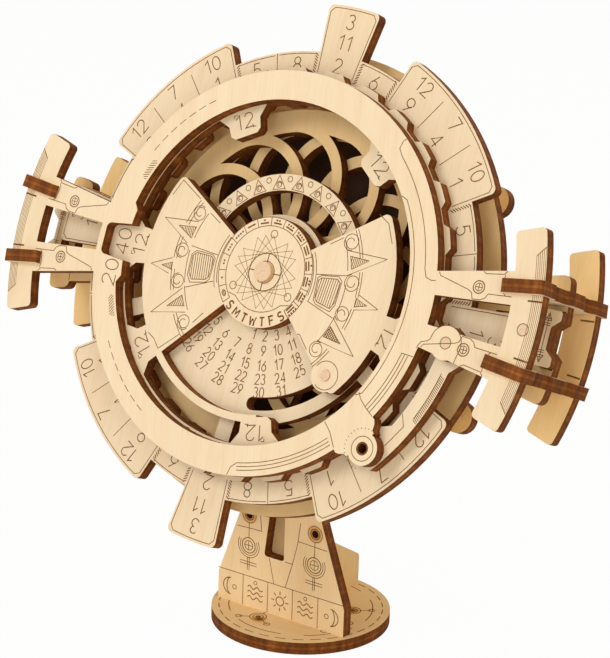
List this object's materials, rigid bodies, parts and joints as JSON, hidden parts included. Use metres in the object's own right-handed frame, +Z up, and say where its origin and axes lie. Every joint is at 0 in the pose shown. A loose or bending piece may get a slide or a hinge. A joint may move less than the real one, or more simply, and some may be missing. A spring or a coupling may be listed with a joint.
{
  "type": "perpetual desk calendar",
  "caption": "Free-standing wooden perpetual calendar: a year wheel and a slotted month and date wheel turn on one dowel in layered ring frames on a round leaning stand.",
  "frame": {"origin": "centre of the base disc's underside, on the desk", "axes": "+Z up, -Y out of the dial's lower front, +X to the right as seen from the front"},
  "size_m": [0.1922, 0.0848, 0.1979],
  "materials": {
    "birch_ply": "matte, laser-cut with burnt edges and fine engraving",
    "dowel_birch": "matte turned dowel"
  },
  "bodies": {
    "stand": {"arrow_plate_left": "birch_ply", "arrow_plate_right": "birch_ply", "bar_dowel": "dowel_birch", "base_disc": "birch_ply", "bracket_dowel": "dowel_birch", "clip_left_lower": "birch_ply", "clip_left_upper": "birch_ply", "clip_right_lower": "birch_ply", "clip_right_upper": "birch_ply", "frame_post_1": "dowel_birch", "frame_post_2": "dowel_birch", "frame_post_3": "dowel_birch", "frame_post_4": "dowel_birch", "frame_post_5": "dowel_birch", "frame_post_6": "dowel_birch", "front_bar_left": "birch_ply", "front_bar_right": "birch_ply", "front_frame": "birch_ply", "hub_axle": "dowel_birch", "hub_spacer": "birch_ply", "mid_bar_left": "birch_ply", "mid_bar_right": "birch_ply", "mid_frame": "birch_ply", "rear_bar_left": "birch_ply", "rear_bar_right": "birch_ply", "rear_plate": "birch_ply", "rib_left": "birch_ply", "rib_middle": "birch_ply", "rib_right": "birch_ply", "stand_panel": "birch_ply", "tracery_front": "birch_ply", "window_bracket": "birch_ply"},
    "year": {"year_wheel": "birch_ply", "slot_dowel": "dowel_birch"},
    "month": {"month_wheel": "birch_ply"}
  },
  "joints": [
    {"name": "year_turn", "type": "hinge", "parent": "stand", "child": "year", "pos_m": [0, -0.02869, 0.12277], "axis": [0, -0.9289, 0.3702], "continuous": true},
    {"name": "month_turn", "type": "hinge", "parent": "year", "child": "month", "pos_m": [0, -0.02869, 0.12277], "axis": [0, -0.9289, 0.3702], "range_deg": [-33.9, 43.2]}
  ]
}
